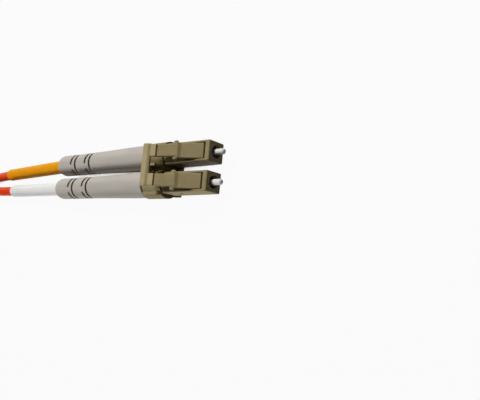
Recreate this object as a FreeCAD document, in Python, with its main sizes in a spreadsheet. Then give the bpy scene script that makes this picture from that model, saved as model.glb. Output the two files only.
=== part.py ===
"""LC duplex fibre-optic connector on a two-leg lead.

Two plugs stand side by side at the standard pitch.  Each one is a moulded
plug frame with a spring-loaded ceramic ferrule inside, a latch arm over its
top, a rear body pushed into its back, a crimp ring and a strain-relief boot.
A clip snaps round both rear bodies and carries one trigger whose two lips
press both latch arms.  A marker sleeve covers each leg of the lead behind
its boot, and the rest of the lead is put away in a hank with a strap round it.

Millimetres.  +X points out of the ferrules, +Y across the pair, +Z up, with
z = 0 where the connector lies.  Lengths called "depth" are counted backwards
from the front face of the plugs.
"""
import FreeCAD, Part
import math
import os
import Sketcher

V = FreeCAD.Vector

doc = FreeCAD.newDocument("lc_duplex_connector")

# ---------------------------------------------------------------- sizes
SIZES = [
    # the pair
    ("pitch", 6.25), ("axis_height", 3.0), ("fit_gap", 0.03), ("slip_gap", 0.05), ("cut_over", 1.0),
    # plug frame
    ("frame_width", 4.3), ("frame_rear_width", 4.56), ("frame_height", 4.54),
    ("frame_length", 12.4), ("frame_round", 0.28), ("frame_front_edge", 0.18),
    ("front_bore_dia", 2.78), ("front_bore_depth", 4.6), ("web_thickness", 0.75),
    ("web_hole_dia", 1.9), ("flange_room_dia", 2.64), ("insert_depth", 7.6),
    ("insert_dia", 3.44), ("window_depth", 8.1), ("window_length", 1.15), ("window_height", 0.8),
    # latch channel in the frame and the latch arm
    ("channel_depth", 1.05), ("channel_floor", 1.58), ("channel_flat", 2.7), ("channel_end", 6.6),
    ("latch_width", 3.2), ("latch_side_gap", 0.15),
    ("latch_pivot_depth", 1.95), ("latch_pivot_up", 1.86), ("latch_root", 0.5),
    ("latch_slope", 20.0), ("step_depth", 6.4), ("step_run", 0.5), ("step_rise", 0.6),
    ("tail_width", 2.55), ("tail_slope", 11.6), ("tail_end", 13.2), ("tail_thickness", 0.8),
    ("ear_span", 4.2), ("ear_set", 0.2), ("ear_length", 1.25), ("ear_down", 0.1), ("ear_height", 0.64),
    ("latch_round", 0.16), ("ear_edge", 0.25),
    # ferrule, its holder and the spring
    ("ferrule_dia", 1.25), ("tip_out", 2.2), ("ferrule_length", 8.4), ("tip_edge", 0.25),
    ("stem_dia", 0.9), ("stem_start", 4.4),
    ("collar_dia", 2.5), ("collar_length", 1.05), ("holder_tail_dia", 1.44),
    ("holder_tail_length", 3.3), ("spring_mean_dia", 2.0), ("spring_wire", 0.3), ("spring_turns", 5),
    ("spring_seat", 12.2), ("buffer_dia", 0.9), ("buffer_end", 23.9),
    # rear body
    ("neck_in_dia", 4.4), ("drum_dia", 5.2), ("drum_front", 13.25), ("end_gap", 0.1),
    ("crimp_neck_dia", 2.8), ("crimp_neck_end", 23.5), ("fibre_bore_dia", 1.3), ("barb_out", 0.33),
    # crimp ring
    ("crimp_wall", 0.3), ("crimp_end", 28.0),
    # boot
    ("boot_end", 54.0), ("boot_front_dia", 5.9), ("boot_grip_length", 4.0),
    ("boot_taper_end", 38.4), ("boot_rear_dia", 5.48), ("boot_end_round", 1.15), ("boot_front_edge", 0.2),
    ("boot_gap", 0.07), ("sleeve_seat", 47.9), ("slot_depth", 39.3), ("slot_pitch", 6.0),
    ("slot_offset", 1.75), ("slot_width", 0.75), ("slot_angle", 152.0),
    ("boot_turn_a", 24.0), ("boot_turn_b", 17.0),
    # marker sleeves and the lead
    ("sleeve_dia", 3.5), ("sleeve_bore", 3.14), ("sleeve_inset", 0.2), ("sleeve_gap", 0.16),
    ("sleeve_end_a", 84.8), ("sleeve_end_b", 81.3), ("sleeve_bend", 51.3),
    ("sleeve_droop", 1.8), ("sleeve_turn_a", 1.45), ("sleeve_turn_b", 0.4),
    ("cord_dia", 2.8), ("cord_start", 25.2),
    ("hank_front_x", -66.0), ("hank_y", -10.05), ("hank_run", 50.0),
    ("hank_in_radius", 7.05), ("hank_out_radius", 12.8), ("hank_height", 16.9), ("hank_edge", 1.1),
    ("tie_width", 10.0), ("tie_thickness", 0.8), ("tie_gap", 0.05), ("tie_round", 1.6),
    # duplex clip
    ("clip_front", 13.0), ("clip_tail", 1.5), ("clip_out_dia", 6.4), ("clip_lip_up", 1.9),
    ("ridge_front", 15.0), ("ridge_width", 2.4), ("ridge_up", 2.9), ("bearing_wall", 0.8), ("web_down", 0.4),
    ("ridge_cut_side", 0.2), ("plate_front", 11.7), ("plate_lap", 0.5),
    ("plate_overhang", 0.25), ("plate_thickness", 0.62), ("clip_round", 0.14),
    # trigger
    ("trigger_pivot_depth", 17.5), ("trigger_pivot_up", 2.2), ("trunnion_dia", 0.8),
    ("leg_width", 1.0), ("leg_gap", 0.1), ("leg_slot_front", 14.2), ("boss_dia", 1.5),
    ("lip_front", 11.85), ("lip_thickness", 0.34), ("lip_width", 2.5), ("lip_gap", 0.06),
    ("bar_front", 13.15), ("bar_length", 1.7), ("bar_width", 9.1), ("bar_thickness", 0.72),
    ("bar_slant", 0.38), ("bar_edge", 0.12),
]

sheet = doc.addObject("Spreadsheet::Sheet", "Sizes")
for row, (word, number) in enumerate(SIZES, start=1):
    sheet.set("A%d" % row, word)
    sheet.set("B%d" % row, str(number))
    sheet.setAlias("B%d" % row, word)
doc.recompute()


class Size:
    """A number together with the sheet formula that gives it."""

    def __init__(self, value, text, bare=False):
        self.value, self.text, self.bare = float(value), text, bare

    def _with(self, other, sign, value, swap=False):
        other = size_of(other)
        a, b = (other, self) if swap else (self, other)
        return Size(value(a.value, b.value), "(%s %s %s)" % (a.text, sign, b.text), a.bare and b.bare)

    def __add__(self, other):
        return self._with(other, "+", lambda a, b: a + b)

    def __radd__(self, other):
        return self._with(other, "+", lambda a, b: a + b, True)

    def __sub__(self, other):
        return self._with(other, "-", lambda a, b: a - b)

    def __rsub__(self, other):
        return self._with(other, "-", lambda a, b: a - b, True)

    def __mul__(self, other):
        return self._with(other, "*", lambda a, b: a * b)

    def __rmul__(self, other):
        return self._with(other, "*", lambda a, b: a * b, True)

    def __truediv__(self, other):
        return self._with(other, "/", lambda a, b: a / b)

    def __neg__(self):
        return Size(-self.value, "(0 - %s)" % self.text, self.bare)


def size_of(thing):
    return thing if isinstance(thing, Size) else Size(thing, "(%.6g)" % thing, True)


def tan(degrees):
    return Size(math.tan(math.radians(degrees.value)), "tan(%s * 1 deg)" % degrees.text)


def cos(degrees):
    return Size(math.cos(math.radians(degrees.value)), "cos(%s * 1 deg)" % degrees.text)


def sin(degrees):
    return Size(math.sin(math.radians(degrees.value)), "sin(%s * 1 deg)" % degrees.text)


class Sheet:
    """S.frame_width is the sheet's cell of that name."""

    def __getattr__(self, word):
        return Size(float(sheet.get(word)), "Sizes." + word)


S = Sheet()

# where the front face of the plugs lies, so that the connector's own box is centred on x = 0
FACE_X = (S.sleeve_end_a - S.tip_out) / 2
BUILT = []


# ---------------------------------------------------------------- helpers
def bind(thing, prop, size):
    thing.setExpression(prop, size_of(size).text)


def new_body(label):
    body = doc.addObject("PartDesign::Body", label)
    body.Label = label
    BUILT.append(body)
    return body


def origin_of(body, role):
    return next(f for f in body.Origin.OriginFeatures if f.Role == role)


def sketch(body, name, plane, shift=None):
    made = body.newObject("Sketcher::SketchObject", name)
    made.AttachmentSupport = [(origin_of(body, plane), "")]
    made.MapMode = "FlatFace"
    if shift is not None:
        bind(made, "AttachmentOffset.Base.z", shift)
    return made


def pin_point(made, geo, end, across, up):
    """Fix one point of a sketch at sheet-driven coordinates."""
    for kind, axis, size in (("DistanceX", -2, size_of(across)), ("DistanceY", -1, size_of(up))):
        if size.bare and size.value == 0:
            made.addConstraint(Sketcher.Constraint("PointOnObject", geo, end, axis))
        else:
            index = made.addConstraint(Sketcher.Constraint(kind, -1, 1, geo, end, size.value))
            if not size.bare:
                made.setExpression("Constraints[%d]" % index, size.text)


def outline(made, points, eased=None):
    """A closed run of straight lines through the points; the side numbered eased is a spline."""
    points = [(size_of(a), size_of(b)) for a, b in points]
    first, count = made.GeometryCount, len(points)
    for i in range(count):
        (a, b), (c, d) = points[i], points[(i + 1) % count]
        ends = [V(a.value, b.value, 0), V(c.value, d.value, 0)]
        if i == eased:
            made.addGeometry(Part.BSplineCurve(ends, None, None, False, 1, None, False), False)
        else:
            made.addGeometry(Part.LineSegment(*ends), False)
    for i in range(count):
        made.addConstraint(Sketcher.Constraint("Coincident", first + i, 2, first + (i + 1) % count, 1))
    for i, (a, b) in enumerate(points):
        pin_point(made, first + i, 1, a, b)
    return made


def ring(made, across, up, radius):
    across, up, radius = size_of(across), size_of(up), size_of(radius)
    geo = made.addGeometry(Part.Circle(V(across.value, up.value, 0), V(0, 0, 1), radius.value), False)
    pin_point(made, geo, 3, across, up)
    index = made.addConstraint(Sketcher.Constraint("Radius", geo, radius.value))
    made.setExpression("Constraints[%d]" % index, radius.text)
    return made


def stadium(made, front, back, radius):
    """Two half circles, centred at front and back on the sketch's first axis, joined by straight sides."""
    front, back, radius = size_of(front), size_of(back), size_of(radius)
    r, quarter = radius.value, math.pi / 2
    arcs = [made.addGeometry(Part.ArcOfCircle(Part.Circle(V(at.value, 0, 0), V(0, 0, 1), r), start, start + math.pi),
                             False) for at, start in ((front, -quarter), (back, quarter))]
    sides = [made.addGeometry(Part.LineSegment(V(a.value, y, 0), V(b.value, y, 0)), False)
             for a, b, y in ((front, back, r), (back, front, -r))]
    for arc, side, following in ((arcs[0], sides[0], arcs[1]), (arcs[1], sides[1], arcs[0])):
        made.addConstraint(Sketcher.Constraint("Coincident", arc, 2, side, 1))
        made.addConstraint(Sketcher.Constraint("Coincident", side, 2, following, 1))
    for arc, at in zip(arcs, (front, back)):
        pin_point(made, arc, 3, at, 0)
        index = made.addConstraint(Sketcher.Constraint("Radius", arc, r))
        made.setExpression("Constraints[%d]" % index, radius.text)
        made.addConstraint(Sketcher.Constraint("Vertical", arc, 3, arc, 1))
        made.addConstraint(Sketcher.Constraint("Vertical", arc, 3, arc, 2))
    return made


def box_outline(made, low, high, bottom, top):
    return outline(made, [(low, bottom), (high, bottom), (high, top), (low, top)])


def extrude(body, kind, name, made, length, both=False, back=False):
    feature = body.newObject("PartDesign::" + kind, name)
    feature.Profile = made
    feature.Type = "Length"
    bind(feature, "Length", length)
    if both:
        feature.SideType = "Symmetric"
    feature.Reversed = back
    made.Visibility = False
    doc.recompute()
    return feature


def turn(body, kind, name, made, angle=None):
    """A revolve, or a revolved cut, about the body's own X axis."""
    feature = body.newObject("PartDesign::" + kind, name)
    feature.Profile = made
    feature.ReferenceAxis = (origin_of(body, "X_Axis"), [""])
    if angle is None:
        feature.Angle = 360
    else:
        feature.Midplane = True
        bind(feature, "Angle", angle)
    doc.recompute()
    return feature


def edge_names(feature, wanted):
    names = []
    for i, edge in enumerate(feature.Shape.Edges, start=1):
        box = edge.BoundBox
        if wanted(edge, box):
            names.append("Edge%d" % i)
    if not names:
        raise RuntimeError("no edge found on " + feature.Label)
    return names


def soften(body, name, radius, wanted, kind="Fillet"):
    """Round, or chamfer, the edges of the newest feature that the test picks."""
    doc.recompute()
    base = body.Tip
    feature = body.newObject("PartDesign::" + kind, name)
    feature.Base = (base, edge_names(base, wanted))
    bind(feature, "Radius" if kind == "Fillet" else "Size", radius)
    doc.recompute()
    return feature


def near(a, b, room=1e-3):
    return abs(a - b) < room


def place(thing, x, y, z):
    bind(thing, "Placement.Base.x", x)
    bind(thing, "Placement.Base.y", y)
    bind(thing, "Placement.Base.z", z)


# ---------------------------------------------------------------- shared lines
# the latch's top line starts at the rounded root and rises at latch_slope
ROOT_R = S.latch_root / 2
ROOT_TOP_X = -S.latch_pivot_depth + ROOT_R * sin(S.latch_slope)
ROOT_TOP_Z = S.latch_pivot_up + ROOT_R * cos(S.latch_slope)
ROOT_LOW_X = -S.latch_pivot_depth - ROOT_R * sin(S.latch_slope)
ROOT_LOW_Z = S.latch_pivot_up - ROOT_R * cos(S.latch_slope)
STEP_Z = ROOT_TOP_Z + (ROOT_TOP_X + S.step_depth) * tan(S.latch_slope)
TAIL_X = S.step_depth + S.step_run
EAR_DEPTH = TAIL_X + S.ear_set
TAIL_Z = STEP_Z + S.step_rise


def tail_top(depth):
    """Height of the tail's top face at a depth behind the plug face."""
    return TAIL_Z + (depth - TAIL_X) * tan(S.tail_slope)


COLLAR_FRONT = S.front_bore_depth + S.web_thickness + S.slip_gap
COLLAR_BACK = COLLAR_FRONT + S.collar_length
HOLDER_BACK = COLLAR_BACK + S.holder_tail_length
CLIP_END = S.trigger_pivot_depth + S.clip_tail
RIDGE_END = S.trigger_pivot_depth + S.bearing_wall
SLEEVE_START = S.sleeve_seat + S.sleeve_inset
DRUM_END = CLIP_END - S.end_gap
BOOT_START = CLIP_END + S.end_gap
SIDES = (("a", 1), ("b", -1))


# ---------------------------------------------------------------- plug frame
def plug_frame(tag, side):
    """The moulded nose of one plug, with its ferrule bore and latch channel."""
    body = new_body("plug_frame_" + tag)
    plan = sketch(body, "Plan", "XY_Plane")
    outline(plan, [(0, -S.frame_width / 2), (0, S.frame_width / 2),
                   (-S.frame_length, S.frame_rear_width / 2), (-S.frame_length, -S.frame_rear_width / 2)])
    extrude(body, "Pad", "Block", plan, S.frame_height, both=True)
    soften(body, "Rounded", S.frame_round, lambda e, b: b.XLength > 1)
    soften(body, "FrontEdge", S.frame_front_edge, lambda e, b: near(b.XMin, 0) and near(b.XMax, 0), "Chamfer")

    # channel under the latch: flat at the root, then ramping up to the top face
    side_cut = sketch(body, "ChannelSide", "XZ_Plane")
    top = S.frame_height / 2
    outline(side_cut, [(-S.channel_depth, S.channel_floor), (-S.channel_depth, top + 1),
                       (-S.channel_end, top + 1), (-S.channel_end, top), (-S.channel_flat, S.channel_floor)])
    extrude(body, "Pocket", "Channel", side_cut, S.latch_width + 2 * S.latch_side_gap, both=True)

    # stepped bore: adapter sleeve room, web, ferrule holder room, socket for the rear body
    bore = sketch(body, "BoreSection", "XZ_Plane")
    web_back = S.front_bore_depth + S.web_thickness
    outline(bore, [(1, 0), (1, S.front_bore_dia / 2), (-S.front_bore_depth, S.front_bore_dia / 2),
                   (-S.front_bore_depth, S.web_hole_dia / 2), (-web_back, S.web_hole_dia / 2),
                   (-web_back, S.flange_room_dia / 2), (-(S.insert_depth - S.slip_gap), S.flange_room_dia / 2),
                   (-(S.insert_depth - S.slip_gap), S.insert_dia / 2 + S.fit_gap),
                   (-(S.frame_length + 1), S.insert_dia / 2 + S.fit_gap), (-(S.frame_length + 1), 0)])
    turn(body, "Groove", "Bore", bore)

    # windows that the rear body's barbs click into
    window = sketch(body, "WindowSide", "XZ_Plane")
    box_outline(window, -(S.window_depth + S.window_length), -S.window_depth,
                -S.window_height / 2, S.window_height / 2)
    extrude(body, "Pocket", "Windows", window, S.frame_rear_width + 2 * S.cut_over, both=True)
    place(body, FACE_X, side * S.pitch / 2, S.axis_height)


# ---------------------------------------------------------------- latch arm
def latch_arm(tag, side):
    """Sprung arm: wide thin front, a step with two ears, and a thick narrow tail."""
    body = new_body("latch_arm_" + tag)
    ears = sketch(body, "EarSide", "XZ_Plane")
    ear_top = tail_top(EAR_DEPTH) - S.ear_down
    outline(ears, [(-EAR_DEPTH, ear_top), (-(EAR_DEPTH + S.ear_length), ear_top),
                   (-(EAR_DEPTH + S.ear_length), ear_top - S.ear_height), (-EAR_DEPTH, ear_top - S.ear_height)])
    extrude(body, "Pad", "Ears", ears, S.ear_span, both=True)
    reach = S.ear_span.value / 2
    soften(body, "EarEdge", S.ear_edge,
           lambda e, b: near(abs(b.YMin), reach) and near(abs(b.YMax), reach), "Chamfer")
    front = sketch(body, "FrontSide", "XZ_Plane")
    outline(front, [(ROOT_TOP_X, ROOT_TOP_Z), (-S.step_depth, STEP_Z), (-TAIL_X, TAIL_Z),
                    (-EAR_DEPTH, tail_top(EAR_DEPTH)),
                    (-EAR_DEPTH, tail_top(EAR_DEPTH) - S.tail_thickness),
                    (ROOT_LOW_X, ROOT_LOW_Z)])
    extrude(body, "Pad", "Front", front, S.latch_width, both=True)
    soften(body, "FrontRound", S.latch_round,
           lambda e, b: b.YLength < 0.01 and near(b.XMax, ROOT_TOP_X.value) and near(b.ZMax, STEP_Z.value))
    root = sketch(body, "RootSide", "XZ_Plane")
    ring(root, -S.latch_pivot_depth, S.latch_pivot_up, ROOT_R)
    extrude(body, "Pad", "Root", root, S.latch_width, both=True)

    tail = sketch(body, "TailSide", "XZ_Plane")
    low = tail_top(S.tail_end) - S.tail_thickness
    outline(tail, [(-TAIL_X, TAIL_Z), (-S.tail_end, tail_top(S.tail_end)), (-S.tail_end, low),
                   (-TAIL_X, TAIL_Z - S.tail_thickness)])
    extrude(body, "Pad", "Tail", tail, S.tail_width, both=True)
    soften(body, "TailRound", S.latch_round,
           lambda e, b: b.YLength < 0.01 and near(b.XMin, -S.tail_end.value)
           and near(b.ZMax, tail_top(S.tail_end).value) and b.XLength > 1)

    place(body, FACE_X, side * S.pitch / 2, S.axis_height)


# ---------------------------------------------------------------- ferrule group
def ferrule(tag, side):
    """Ceramic rod with a chamfered tip and a thinner stem that is pressed into its holder."""
    body = new_body("ferrule_" + tag)
    section = sketch(body, "Section", "XZ_Plane")
    outline(section, [(S.tip_out, 0), (S.tip_out, S.ferrule_dia / 2), (-S.stem_start, S.ferrule_dia / 2),
                      (-S.stem_start, S.stem_dia / 2), (S.tip_out - S.ferrule_length, S.stem_dia / 2),
                      (S.tip_out - S.ferrule_length, 0)])
    turn(body, "Revolution", "Rod", section)
    soften(body, "Tip", S.tip_edge,
           lambda e, b: near(b.XMin, S.tip_out.value) and near(b.XMax, S.tip_out.value), "Chamfer")
    place(body, FACE_X, side * S.pitch / 2, S.axis_height)


def ferrule_holder(tag, side):
    """Metal flange on the back of the ferrule: hexagon collar and hollow tail."""
    body = new_body("ferrule_holder_" + tag)
    section = sketch(body, "Section", "XZ_Plane")
    box_outline(section, -HOLDER_BACK, -COLLAR_FRONT, 0, S.holder_tail_dia / 2)
    turn(body, "Revolution", "Stem", section)
    hexagon = sketch(body, "Hexagon", "YZ_Plane", -COLLAR_BACK)
    r = S.collar_dia / 2
    outline(hexagon, [(r, 0), (r * 0.5, r * 0.8660254), (-r * 0.5, r * 0.8660254), (-r, 0),
                      (-r * 0.5, -r * 0.8660254), (r * 0.5, -r * 0.8660254)])
    extrude(body, "Pad", "Collar", hexagon, S.collar_length)
    bore = sketch(body, "BoreSection", "XZ_Plane")
    rod_back = S.ferrule_length - S.tip_out
    outline(bore, [(0, 0), (0, S.stem_dia / 2 + S.fit_gap / 3), (-rod_back, S.stem_dia / 2 + S.fit_gap / 3),
                   (-rod_back, S.buffer_dia / 2 + S.fit_gap), (-(HOLDER_BACK + 1), S.buffer_dia / 2 + S.fit_gap),
                   (-(HOLDER_BACK + 1), 0)])
    turn(body, "Groove", "Bore", bore)
    place(body, FACE_X, side * S.pitch / 2, S.axis_height)


def spring(tag, side):
    """Compression spring between the ferrule holder's collar and the rear body."""
    radius, wire = S.spring_mean_dia.value / 2, S.spring_wire.value / 2
    height = (S.spring_seat - COLLAR_BACK - S.spring_wire - 2 * S.slip_gap).value
    steps = 12 * int(S.spring_turns.value)
    path = [V(-height * i / steps, radius * math.cos(i * math.pi / 6), radius * math.sin(i * math.pi / 6))
            for i in range(steps + 1)]
    heading = (path[1] - path[0]).normalize()
    across = heading.cross(V(0, 1, 0)).normalize()
    other = across.cross(heading)
    section = [path[0] + across * (wire * math.cos(i * math.pi / 3)) + other * (wire * math.sin(i * math.pi / 3))
               for i in range(7)]
    made = doc.addObject("Part::Feature", "ferrule_spring_" + tag)
    made.Label = "ferrule_spring_" + tag
    made.Shape = Part.makePolygon(path).makePipeShell([Part.makePolygon(section)], True, False, 1)
    place(made, FACE_X - COLLAR_BACK - S.slip_gap - S.spring_wire / 2, side * S.pitch / 2, S.axis_height)
    BUILT.append(made)


def buffered_fibre(tag, side):
    rod = doc.addObject("Part::Cylinder", "buffered_fibre_" + tag)
    rod.Label = "buffered_fibre_" + tag
    start = S.ferrule_length - S.tip_out + 0.1
    bind(rod, "Radius", S.buffer_dia / 2)
    bind(rod, "Height", S.buffer_end - start)
    rod.Placement.Rotation = FreeCAD.Rotation(V(0, 1, 0), -90)
    place(rod, FACE_X - start, side * S.pitch / 2, S.axis_height)
    BUILT.append(rod)


# ---------------------------------------------------------------- rear body, crimp ring
def rear_body(tag, side):
    """Backbone: barbed insert, waist, drum that the clip grips, and crimp neck."""
    body = new_body("rear_body_" + tag)
    section = sketch(body, "Section", "XZ_Plane")
    waist_front = S.frame_length + S.fit_gap
    outline(section, [(-S.insert_depth, 0), (-S.insert_depth, S.insert_dia / 2), (-waist_front, S.insert_dia / 2),
                      (-waist_front, S.neck_in_dia / 2), (-S.drum_front, S.neck_in_dia / 2),
                      (-S.drum_front, S.drum_dia / 2), (-DRUM_END, S.drum_dia / 2),
                      (-DRUM_END, S.crimp_neck_dia / 2), (-S.crimp_neck_end, S.crimp_neck_dia / 2),
                      (-S.crimp_neck_end, 0)])
    turn(body, "Revolution", "Stem", section)
    barb = sketch(body, "BarbPlan", "XY_Plane")
    back = S.window_depth + S.window_length - S.slip_gap
    out = S.insert_dia / 2 + S.barb_out
    outline(barb, [(-(S.window_depth + S.slip_gap), 0.5), (-(S.window_depth + S.slip_gap), S.insert_dia / 2),
                   (-(S.window_depth + S.window_length * 0.55), out), (-back, out), (-back, 0.5)])
    outline(barb, [(-(S.window_depth + S.slip_gap), -0.5), (-back, -0.5), (-back, -out),
                   (-(S.window_depth + S.window_length * 0.55), -out),
                   (-(S.window_depth + S.slip_gap), -S.insert_dia / 2)])
    extrude(body, "Pad", "Barbs", barb, S.window_height - 2 * S.slip_gap, both=True)
    bore = sketch(body, "BoreSection", "XZ_Plane")
    outline(bore, [(0, 0), (0, S.flange_room_dia / 2), (-S.spring_seat, S.flange_room_dia / 2),
                   (-S.spring_seat, S.fibre_bore_dia / 2), (-(S.crimp_neck_end + 1), S.fibre_bore_dia / 2),
                   (-(S.crimp_neck_end + 1), 0)])
    turn(body, "Groove", "Bore", bore)
    place(body, FACE_X, side * S.pitch / 2, S.axis_height)


def crimp_ring(tag, side):
    """Sleeve squeezed over the neck of the rear body and over the jacket behind it."""
    body = new_body("crimp_ring_" + tag)
    section = sketch(body, "Section", "XZ_Plane")
    inner = S.crimp_neck_dia / 2 + S.fit_gap
    box_outline(section, -S.crimp_end, -(DRUM_END + 0.3), inner, inner + S.crimp_wall)
    turn(body, "Revolution", "Ring", section)
    place(body, FACE_X, side * S.pitch / 2, S.axis_height)


# ---------------------------------------------------------------- boot
def boot(tag, side, turned):
    """Tapered strain-relief boot with staggered pairs of bending slots near its end."""
    body = new_body("boot_" + tag)
    section = sketch(body, "Section", "XZ_Plane")
    front, rear, curve = S.boot_front_dia / 2, S.boot_rear_dia / 2, S.boot_end_round
    rounding = [(-(S.boot_end - curve * (1 - math.sin(t))), rear - curve * (1 - math.cos(t)))
                for t in (math.radians(30 * step) for step in range(4))]
    outline(section, [(-BOOT_START, 0), (-BOOT_START, front - S.boot_front_edge),
                      (-(BOOT_START + S.boot_front_edge), front), (-(BOOT_START + S.boot_grip_length), front),
                      (-S.boot_taper_end, rear)] + rounding + [(-S.boot_end, 0)], eased=3)
    turn(body, "Revolution", "Tube", section)
    bore = sketch(body, "BoreSection", "XZ_Plane")
    wide = S.crimp_neck_dia / 2 + S.fit_gap + S.crimp_wall + S.boot_gap
    slim = S.cord_dia / 2 + S.boot_gap
    mouth = S.sleeve_dia / 2 + S.sleeve_gap
    outline(bore, [(0, 0), (0, wide), (-(S.crimp_end + 0.3), wide), (-(S.crimp_end + 0.3), slim),
                   (-S.sleeve_seat, slim), (-S.sleeve_seat, mouth),
                   (-(S.boot_end + S.cut_over), mouth), (-(S.boot_end + S.cut_over), 0)])
    turn(body, "Groove", "Bore", bore)

    # two rows of slots above and below, two rows at the sides a little further back
    for name, plane, offset in (("UpSlots", "XZ_Plane", 0), ("SideSlots", "XY_Plane", S.slot_offset)):
        cut = sketch(body, name + "Section", plane)
        for more in (0, 1):
            at = S.slot_depth + offset + more * S.slot_pitch
            box_outline(cut, -(at + S.slot_width), -at, S.cord_dia / 2, S.boot_front_dia / 2 + 0.5)
        groove = turn(body, "Groove", name, cut, S.slot_angle)
        pair = body.newObject("PartDesign::PolarPattern", name + "Pair")
        pair.Originals = [groove]
        pair.Axis = (origin_of(body, "X_Axis"), [""])
        pair.Angle = 360
        pair.Occurrences = 2
        body.Tip = pair
        doc.recompute()
    bind(body, "Placement.Rotation.Angle", turned)
    body.Placement.Rotation = FreeCAD.Rotation(V(1, 0, 0), turned.value)
    place(body, FACE_X, side * S.pitch / 2, S.axis_height)


# ---------------------------------------------------------------- marker sleeve
def marker_sleeve(tag, side, end, yaw):
    """Shrunk-on colour sleeve, pushed into the boot's mouth and sagging slightly."""
    body = new_body("marker_sleeve_" + tag)
    front = S.sleeve_bend - SLEEVE_START
    back = end - S.sleeve_bend
    section = sketch(body, "Section", "XZ_Plane")
    outline(section, [(front, S.sleeve_bore / 2), (front, S.sleeve_dia / 2),
                      (-back, S.sleeve_dia / 2), (-back, S.sleeve_bore / 2)])
    turn(body, "Revolution", "Tube", section)
    tilt = FreeCAD.Rotation(V(0, 0, 1), yaw) * FreeCAD.Rotation(V(0, 1, 0), -S.sleeve_droop.value)
    body.Placement = FreeCAD.Placement(V(0, 0, 0), tilt)
    place(body, FACE_X - S.sleeve_bend, side * S.pitch / 2, S.axis_height)


# ---------------------------------------------------------------- duplex clip
def duplex_clip():
    """C-shaped channels that snap round both rear bodies, joined by a ridge and a floor."""
    body = new_body("duplex_clip")
    length = CLIP_END - S.clip_front
    for tag, side in SIDES:
        hoop = sketch(body, "Hoop" + tag, "YZ_Plane", -CLIP_END)
        ring(hoop, side * S.pitch / 2, 0, S.clip_out_dia / 2)
        extrude(body, "Pad", "Shell" + tag, hoop, length)
    ridge = sketch(body, "RidgeEnd", "YZ_Plane", -RIDGE_END)
    box_outline(ridge, -S.ridge_width / 2, S.ridge_width / 2, -S.axis_height, S.ridge_up)
    extrude(body, "Pad", "Ridge", ridge, RIDGE_END - S.ridge_front)
    plate = sketch(body, "PlateEnd", "YZ_Plane", -(S.clip_front + S.plate_lap))
    reach = S.pitch / 2 + S.frame_rear_width / 2 + S.plate_overhang
    box_outline(plate, -reach, reach, -S.axis_height, -S.axis_height + S.plate_thickness)
    extrude(body, "Pad", "FloorPlate", plate, S.clip_front + S.plate_lap - S.plate_front)

    top = sketch(body, "OpenTop", "YZ_Plane", -(CLIP_END + S.cut_over))
    far = S.pitch / 2 + S.clip_out_dia
    box_outline(top, S.ridge_width / 2, far, S.clip_lip_up, S.clip_lip_up + S.clip_out_dia)
    box_outline(top, -far, -S.ridge_width / 2, S.clip_lip_up, S.clip_lip_up + S.clip_out_dia)
    extrude(body, "Pocket", "Mouths", top, length + 2 * S.cut_over, back=True)
    under = sketch(body, "FlatUnder", "YZ_Plane", -(CLIP_END + S.cut_over))
    box_outline(under, -far, far, -S.axis_height - S.clip_out_dia, -S.axis_height)
    extrude(body, "Pocket", "FlatBase", under, length + 2 * S.cut_over, back=True)
    for tag, side in SIDES:
        channel = sketch(body, "Channel" + tag + "End", "YZ_Plane", -(CLIP_END + S.cut_over))
        ring(channel, side * S.pitch / 2, 0, S.drum_dia / 2 + S.slip_gap)
        extrude(body, "Pocket", "Channel" + tag, channel, length + 2 * S.cut_over, back=True)
    behind = sketch(body, "RidgeBack", "YZ_Plane", -(CLIP_END + S.cut_over))
    box_outline(behind, -S.ridge_width / 2 - S.ridge_cut_side, S.ridge_width / 2 + S.ridge_cut_side,
                S.web_down, S.ridge_up + S.cut_over)
    extrude(body, "Pocket", "RidgeEndCut", behind, CLIP_END + S.cut_over - RIDGE_END, back=True)

    # slot for the trigger's leg, and its bearing holes through both cheeks
    slot = sketch(body, "LegSlot", "XZ_Plane")
    low = S.trigger_pivot_up - S.boss_dia / 2 - S.leg_gap
    box_outline(slot, -(RIDGE_END + S.cut_over), -S.leg_slot_front, low, S.ridge_up + S.cut_over)
    extrude(body, "Pocket", "Slot", slot, S.leg_width + 2 * S.leg_gap, both=True)
    bearing = sketch(body, "Bearing", "XZ_Plane")
    ring(bearing, -S.trigger_pivot_depth, S.trigger_pivot_up, S.trunnion_dia / 2 + S.fit_gap)
    extrude(body, "Pocket", "Bearings", bearing, S.ridge_width + 0.4, both=True)
    place(body, FACE_X, 0, S.axis_height)


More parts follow.
